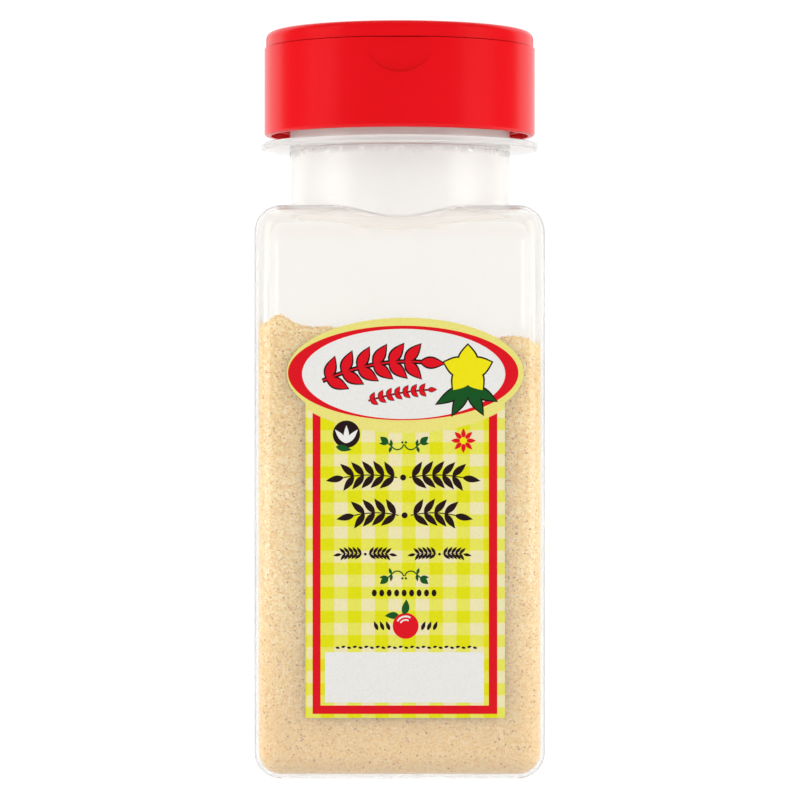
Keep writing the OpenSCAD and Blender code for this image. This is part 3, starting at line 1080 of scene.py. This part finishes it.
def living_hinge(name, node, material):
    """The thin web between the cap's bar and a lid."""
    low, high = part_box(node)
    near = low.y if abs(low.y) < abs(high.y) else high.y
    far = high.y if near == low.y else low.y
    length_steps = 48
    width_steps = 10
    waist = 0.06 * MM
    top = []
    bottom = []
    for i in range(length_steps + 1):
        x = low.x + (high.x - low.x) * i / length_steps
        for j in range(width_steps + 1):
            t = j / width_steps
            thin = waist * math.sin(math.pi * t)
            y = near + (far - near) * t
            top.append(Vector((x, y, high.z - thin)))
            bottom.append(Vector((x, y, low.z + thin)))
    points = top + bottom
    count = len(top)
    row = width_steps + 1
    faces = []
    for i in range(length_steps):
        for j in range(width_steps):
            a = i * row + j
            faces.append((a, a + row, a + row + 1, a + 1))
            faces.append((a + count, a + count + 1, a + count + row + 1, a + count + row))
    for i in range(length_steps):
        for a, b in [(i * row, (i + 1) * row), ((i + 2) * row - 1, (i + 1) * row - 1)]:
            faces.append((a, a + count, b + count, b))
    for j in range(width_steps):
        last = length_steps * row
        for a, b in [(j + 1, j), (last + j, last + j + 1)]:
            faces.append((a, a + count, b + count, b))
    if far < near:
        faces = [tuple(reversed(f)) for f in faces]
    piece = mesh_object(name, points, faces, material)
    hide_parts(node)
    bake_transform(piece)


# ---- Stage ----

SURROUND_LIGHT = 0.42
SURROUND_GLOSS = 0.15
CAMERA_DISTANCE = 0.7445
CAMERA_HEIGHT = 76.97 * MM


def sweep():
    """Pale floor that curves up into the backdrop."""
    s = Surface("studio_paper", Roughness=1.0, Specular_IOR_Level=0.0)
    tone = s.noise(40 * MM, 2.0)
    s.colour(s.mix(tone, (0.20, 0.20, 0.20, 1), (0.22, 0.22, 0.22, 1)))
    s.shader.inputs["Emission Color"].default_value = (1, 1, 1, 1)
    s.shader.inputs["Emission Strength"].default_value = 0.9
    reach = 4.0
    curve_y = 1.6
    curve_r = 0.6
    path = [(-reach, 0.0), (curve_y, 0.0)]
    for degrees in range(10, 91, 10):
        a = math.radians(degrees)
        path.append((curve_y + curve_r * math.sin(a), curve_r - curve_r * math.cos(a)))
    path.append((curve_y + curve_r, reach))
    points = []
    for x in (-reach, reach):
        points += [(x, y, z) for y, z in path]
    count = len(path)
    faces = [(i, i + count, i + count + 1, i + 1) for i in range(count - 1)]
    mesh_object("studio_sweep", points, faces, s.material)


def area_light(name, place, target, width, height, power):
    """Soft rectangular light at a place, turned to the target and not mirrored in gloss."""
    light = bpy.data.lights.new(name, "AREA")
    light.shape = "RECTANGLE"
    light.size = width
    light.size_y = height
    light.energy = power
    holder = bpy.data.objects.new(name, light)
    holder.location = place
    holder.rotation_euler = (Vector(target) - Vector(place)).to_track_quat("-Z", "Y").to_euler()
    holder.visible_glossy = False
    bpy.context.scene.collection.objects.link(holder)


def surround(tree):
    """Pale where it is looked at, directly or through the jar, and dimmer as a source of light."""
    path = tree.nodes.new("ShaderNodeLightPath")

    def combine(operation, a, b):
        node = tree.nodes.new("ShaderNodeMath")
        node.operation = operation
        node.use_clamp = True
        for socket, value in zip(node.inputs, (a, b)):
            if isinstance(value, float):
                socket.default_value = value
            else:
                tree.links.new(value, socket)
        return node.outputs[0]

    diffuse = combine("MULTIPLY", path.outputs["Is Diffuse Ray"], 1 - SURROUND_LIGHT)
    glossy = combine("MULTIPLY", path.outputs["Is Glossy Ray"], 1 - SURROUND_GLOSS)
    held = combine("SUBTRACT", 1.0, path.outputs["Is Transmission Ray"])
    dimmed = combine("MULTIPLY", combine("ADD", diffuse, glossy), held)
    background = tree.nodes["Background"]
    background.inputs[0].default_value = (1, 1, 1, 1)
    tree.links.new(combine("SUBTRACT", 1.0, dimmed), background.inputs[1])


def studio():
    """Pale surround, a large soft light at each side and one overhead."""
    scene = bpy.context.scene
    scene.view_settings.view_transform = "Standard"
    scene.view_settings.look = "None"
    world = bpy.data.worlds.new("studio_world")
    world.use_nodes = True
    surround(world.node_tree)
    scene.world = world
    aim = (0, 0, 80 * MM)
    for side, name in [(-1, "softbox_left"), (1, "softbox_right")]:
        area_light(name, (side * 0.8, -0.3, 0.35), aim, width=0.5, height=0.9, power=4.0)
    area_light("softbox_top", (0, 0.1, 1.1), aim, width=1.2, height=1.2, power=3)


def camera():
    """Level view from the front through a long lens, as the object is shown."""
    lens = bpy.data.cameras.new("camera")
    lens.sensor_width = 36
    lens.lens = 161.5
    lens.shift_y = -0.0025
    lens.shift_x = 0.0004
    lens.clip_start = 0.01
    holder = bpy.data.objects.new("camera", lens)
    holder.location = (0, -CAMERA_DISTANCE, CAMERA_HEIGHT)
    holder.rotation_euler = (math.radians(90), 0, 0)
    bpy.context.scene.collection.objects.link(holder)
    bpy.context.scene.camera = holder


sweep()
studio()
camera()

powder = spice_powder()
jar_shell()
spice_fill(powder)
spice_crumbs(powder)
front_label(front_print())
front_ornament()
back_label(back_print())
back_ornament()

red_plastic = cap_red()
for cap_node in ("cap_base", "sifter_flap", "spoon_flap"):
    paint(cap_node, red_plastic)
living_hinge("hinge_web_front", "sifter_hinge", red_plastic)
living_hinge("hinge_web_rear", "spoon_hinge", red_plastic)
paint("sealing_ring", seal_foam())
